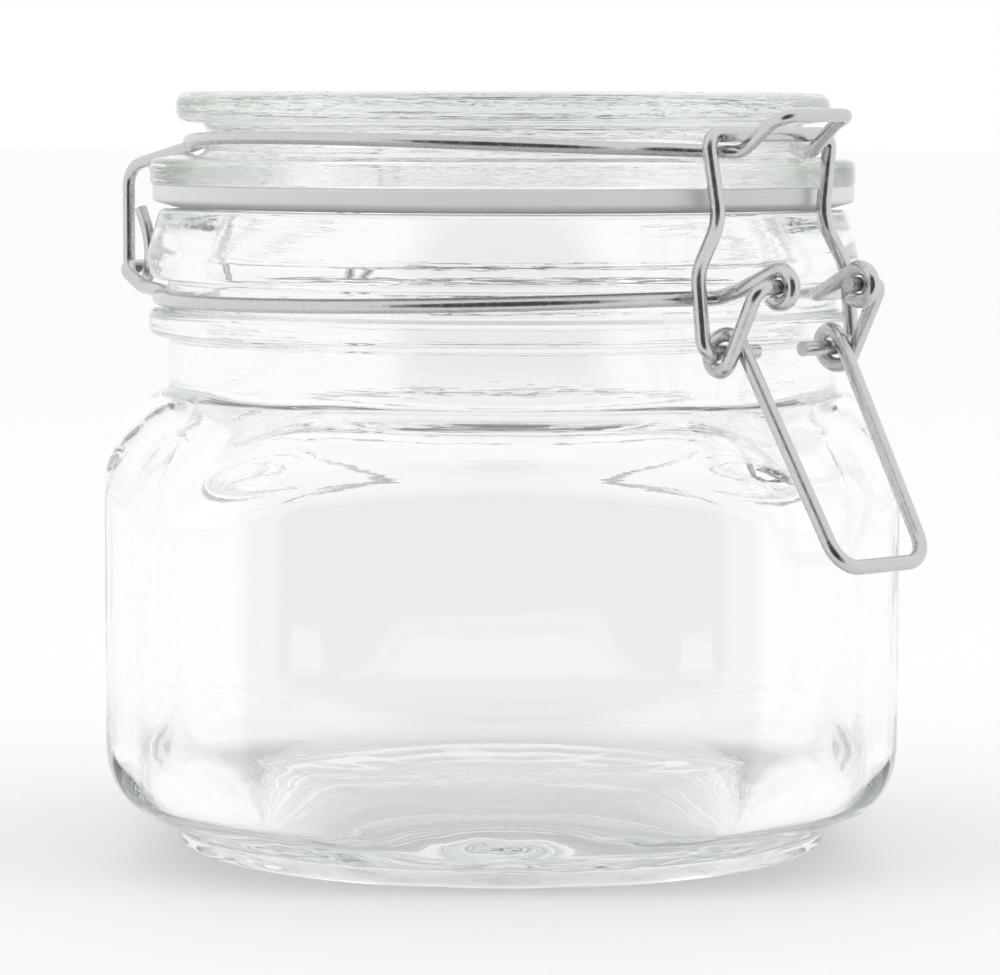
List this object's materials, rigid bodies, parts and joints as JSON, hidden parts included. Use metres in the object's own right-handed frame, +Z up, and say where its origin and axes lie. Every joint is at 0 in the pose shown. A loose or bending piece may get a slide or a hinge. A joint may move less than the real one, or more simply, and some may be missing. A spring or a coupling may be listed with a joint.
{
  "type": "square preserving jar",
  "caption": "Square clear glass preserving jar with a round neck, a hinged glass lid on a rubber ring, and a steel wire clip that is levered shut over one corner.",
  "frame": {"origin": "on the jar's upright axis at the plane of the foot ring, which stands on the table", "axes": "+Z up the jar to the lid; X and Y square to the flat walls; the clip stands over the +X, -Y corner and the lid's hinge over the -X, +Y corner"},
  "size_m": [0.1121, 0.1121, 0.1056],
  "materials": {
    "jar_glass": "clear pressed soda glass with a faint green tint at thick edges",
    "lid_glass": "clear pressed soda glass",
    "gasket": "pale translucent grey rubber, satin",
    "wire": "bright zinc-plated drawn steel wire"
  },
  "bodies": {
    "jar": {"jar_glass": "jar_glass", "neck_wire": "wire"},
    "lid": {"lid_glass": "lid_glass", "gasket": "gasket", "lid_wire": "wire"},
    "lever": {"lever": "wire"},
    "link": {"link": "wire"}
  },
  "joints": [
    {"name": "lid_hinge", "type": "hinge", "parent": "jar", "child": "lid", "pos_m": [-0.0391, 0.0391, 0.0802], "axis": [-0.7071, -0.7071, 0], "range_deg": [0, 110]},
    {"name": "lever_pivot", "type": "hinge", "parent": "jar", "child": "lever", "pos_m": [0.04193, -0.04193, 0.0801], "axis": [0.7071, 0.7071, 0], "range_deg": [-67, 0]},
    {"name": "link_pivot", "type": "hinge", "parent": "lever", "child": "link", "pos_m": [0.03691, -0.03691, 0.0713], "axis": [0.7071, 0.7071, 0], "range_deg": [0, 134]}
  ],
  "couplings": [
    {"joint": "link_pivot", "follows": "lever_pivot", "ratio": -2}
  ]
}
